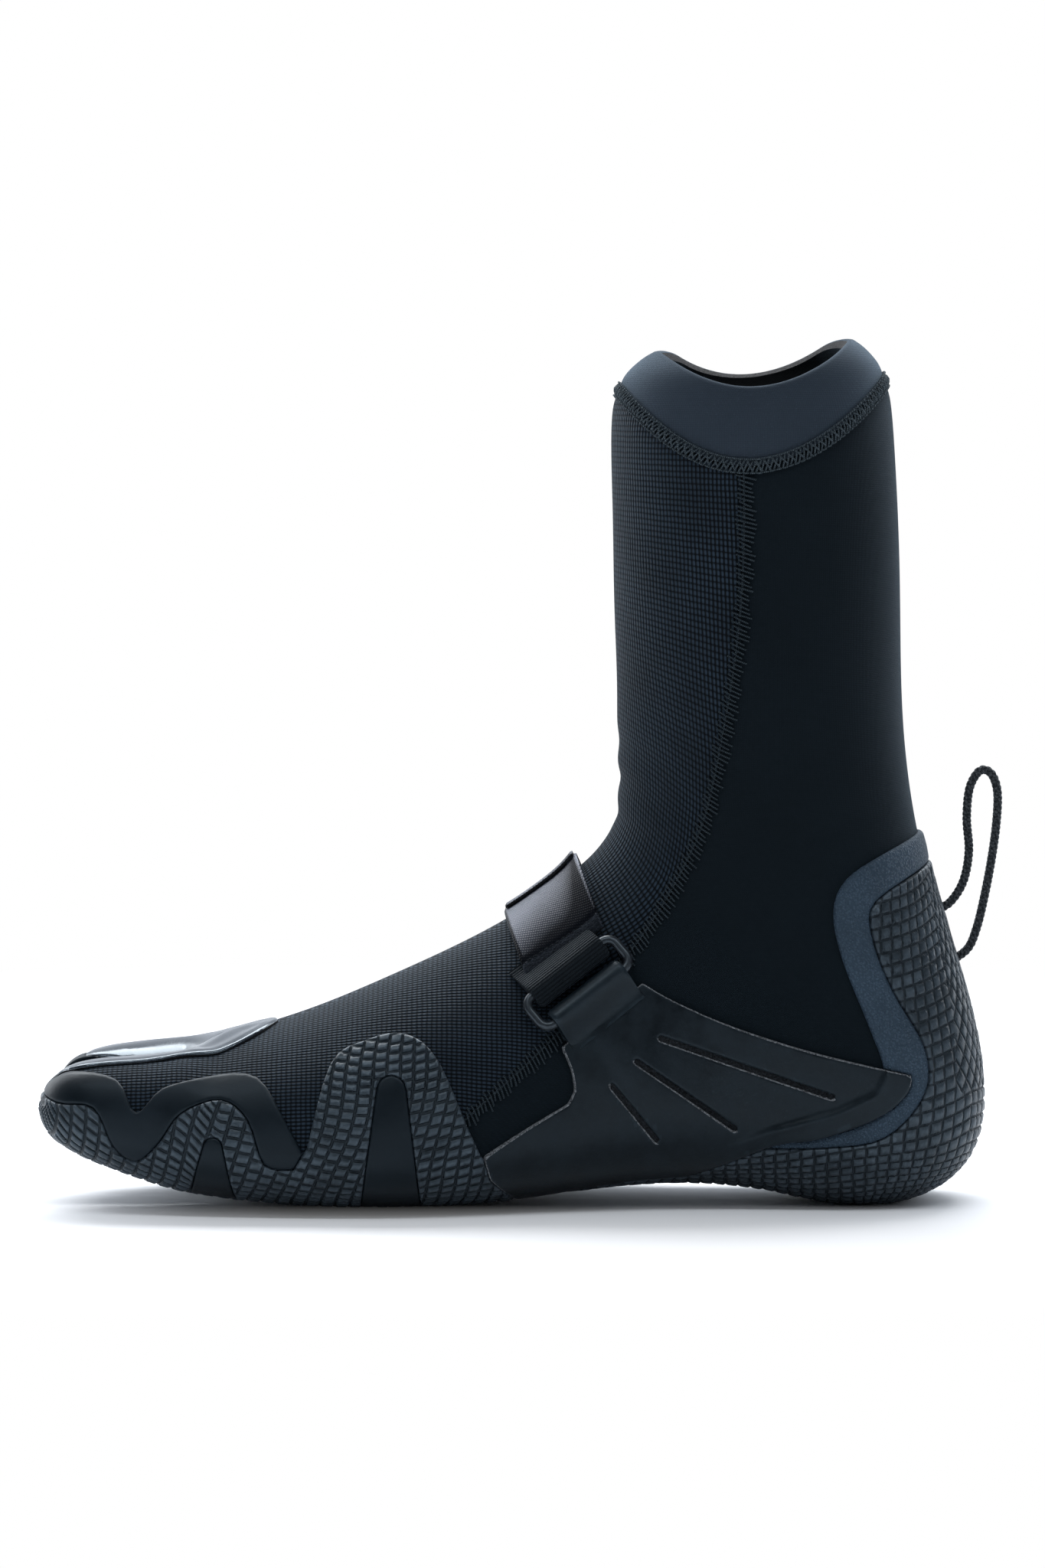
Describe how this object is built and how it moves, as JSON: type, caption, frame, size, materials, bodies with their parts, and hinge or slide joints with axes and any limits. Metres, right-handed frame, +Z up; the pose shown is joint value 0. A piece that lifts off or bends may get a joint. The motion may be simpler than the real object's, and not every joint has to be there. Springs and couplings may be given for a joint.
{
  "type": "split-toe neoprene boot",
  "caption": "Split-toe neoprene surf boot, right foot: knit and jersey upper, rubber sole and heel cup, instep strap on rings, soft collar and heel pull loop.",
  "frame": {"origin": "on the ground under the heel, in the middle of the flat patch it rests on", "axes": "+Z up, +X towards the heel (toes point to -X), -Y towards the inner side of the foot"},
  "size_m": [0.2974, 0.1079, 0.2674],
  "materials": {
    "grid_knit": "matt",
    "jersey": "matt",
    "sole_rubber": "satin",
    "smooth_rubber": "satin",
    "slate_rubber": "matt",
    "webbing": "satin",
    "black_plastic": "satin",
    "thread": "matt"
  },
  "bodies": {
    "foot": {"vamp_panel": "grid_knit", "quarter_panel_inner": "jersey", "quarter_panel_outer": "jersey", "instep_seam_inner": "thread", "instep_seam_outer": "thread", "quarter_seam_inner": "thread", "quarter_seam_outer": "thread", "midfoot_outsole": "sole_rubber", "heel_cup": "sole_rubber", "heel_counter": "slate_rubber", "wing_inner": "smooth_rubber", "wing_outer": "smooth_rubber", "side_insert_inner": "smooth_rubber", "side_insert_outer": "smooth_rubber", "ring_keeper_inner": "smooth_rubber", "ring_keeper_outer": "smooth_rubber", "strap": "webbing", "strap_pile_patch": "webbing"},
    "leg": {"collar_band": "jersey", "shin_panel": "grid_knit", "calf_panel": "jersey", "collar_seam": "thread", "leg_seam_inner": "thread", "leg_seam_outer": "thread"},
    "toes": {"toe_upper": "grid_knit", "toe_outsole": "sole_rubber", "toe_insert_inner": "smooth_rubber", "toe_insert_outer": "smooth_rubber", "toe_patch_inner": "smooth_rubber", "toe_patch_outer": "smooth_rubber", "toe_split_strip": "smooth_rubber"},
    "inner_ring": {"ring_inner": "black_plastic", "ring_webbing_inner": "webbing"},
    "outer_ring": {"ring_outer": "black_plastic", "ring_webbing_outer": "webbing"},
    "tab": {"strap_tab": "webbing"},
    "loop": {"pull_loop": "webbing"}
  },
  "joints": [
    {"name": "ankle_flex", "type": "hinge", "parent": "foot", "child": "leg", "pos_m": [-0.032, -0.004, 0.124], "axis": [0, -1, 0], "range_deg": [-15, 20], "stiffness_Nm_per_rad": 3},
    {"name": "toe_flex", "type": "hinge", "parent": "foot", "child": "toes", "pos_m": [-0.174, -0.004, 0.009], "axis": [0, 1, 0], "range_deg": [-6, 20], "stiffness_Nm_per_rad": 3},
    {"name": "inner_ring_rock", "type": "hinge", "parent": "foot", "child": "inner_ring", "pos_m": [-0.08528, -0.04207, 0.06667], "axis": [0.7787, 0.2186, 0.5881], "range_deg": [-3, 8], "stiffness_Nm_per_rad": 0.01},
    {"name": "outer_ring_rock", "type": "hinge", "parent": "foot", "child": "outer_ring", "pos_m": [-0.08588, 0.03839, 0.0687], "axis": [-0.7785, 0.2631, -0.5698], "range_deg": [-3, 8], "stiffness_Nm_per_rad": 0.01},
    {"name": "strap_tab_peel", "type": "hinge", "parent": "foot", "child": "tab", "pos_m": [-0.09297, 0.03429, 0.07649], "axis": [-0.7785, 0.2631, -0.5698], "range_deg": [0, 110], "stiffness_Nm_per_rad": 0.02},
    {"name": "pull_loop_swing", "type": "hinge", "parent": "foot", "child": "loop", "pos_m": [0.0333, -0.004, 0.077], "axis": [-0.2368, 0, 0.9716], "range_deg": [-50, 50], "stiffness_Nm_per_rad": 0.005}
  ]
}
